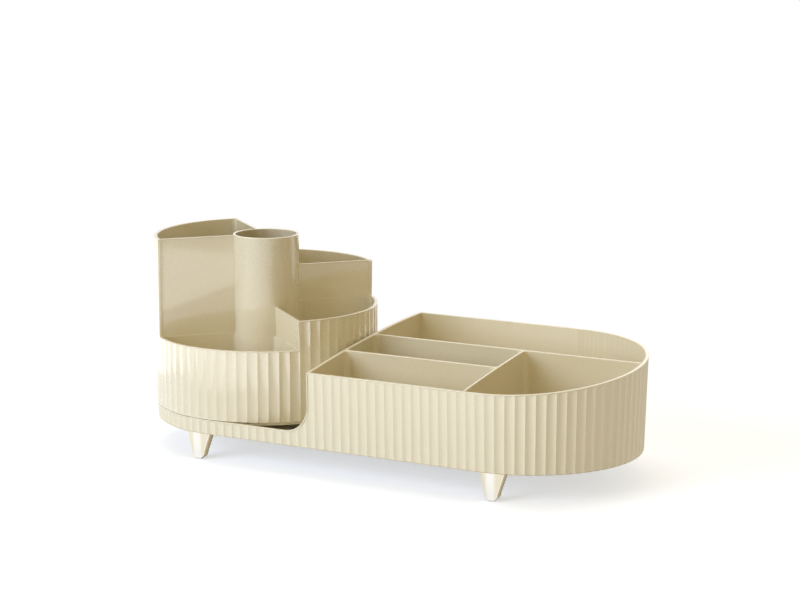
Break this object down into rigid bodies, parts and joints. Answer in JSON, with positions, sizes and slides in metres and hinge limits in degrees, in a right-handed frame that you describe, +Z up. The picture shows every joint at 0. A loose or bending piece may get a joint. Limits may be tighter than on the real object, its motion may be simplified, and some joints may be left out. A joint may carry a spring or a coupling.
{
  "type": "rotating makeup organizer",
  "caption": "Free-standing vanity organizer: a round stepped caddy turns on a ball race at one end of a long fluted tray with open compartments and short tapered feet.",
  "frame": {"origin": "on the ground under the middle of the whole object's outline", "axes": "+X along the tray, from the caddy's end to the far end; +Y from the low front to the high rear; +Z up"},
  "size_m": [0.3762, 0.1644, 0.1537],
  "materials": {
    "cream_tray": "satin-gloss moulded cream",
    "cream_caddy": "satin-gloss moulded cream",
    "bearing": "moulded, low-friction",
    "steel": "zinc plated",
    "foot": "champagne plated, high gloss",
    "pad": "matt"
  },
  "bodies": {
    "base": {"tray": "cream_tray", "lower_race": "bearing", "pivot_bush": "bearing", "pivot_screw": "steel", "lower_race_screw_1": "steel", "lower_race_screw_2": "steel", "lower_race_screw_3": "steel", "lower_race_screw_4": "steel", "foot_front_left": "foot", "foot_front_right": "foot", "foot_rear_right": "foot", "foot_rear_left": "foot", "foot_pad_front_left": "pad", "foot_pad_front_right": "pad", "foot_pad_rear_right": "pad", "foot_pad_rear_left": "pad", "foot_screw_front_left": "steel", "foot_screw_front_right": "steel", "foot_screw_rear_right": "steel", "foot_screw_rear_left": "steel"},
    "caddy": {"caddy": "cream_caddy", "upper_race": "bearing", "upper_race_screw_1": "steel", "upper_race_screw_2": "steel", "upper_race_screw_3": "steel", "upper_race_screw_4": "steel"},
    "cage": {"ball_cage": "bearing", "ball_1": "steel", "ball_2": "steel", "ball_3": "steel", "ball_4": "steel", "ball_5": "steel", "ball_6": "steel", "ball_7": "steel", "ball_8": "steel", "ball_9": "steel", "ball_10": "steel", "ball_11": "steel", "ball_12": "steel"}
  },
  "joints": [
    {"name": "caddy_spin", "type": "hinge", "parent": "base", "child": "caddy", "pos_m": [-0.10678, -0.00021, 0.0273], "axis": [0, 0, 1], "continuous": true},
    {"name": "cage_spin", "type": "hinge", "parent": "base", "child": "cage", "pos_m": [-0.10678, -0.00021, 0.0273], "axis": [0, 0, 1], "continuous": true}
  ],
  "couplings": [
    {"joint": "cage_spin", "follows": "caddy_spin", "ratio": 0.5}
  ]
}
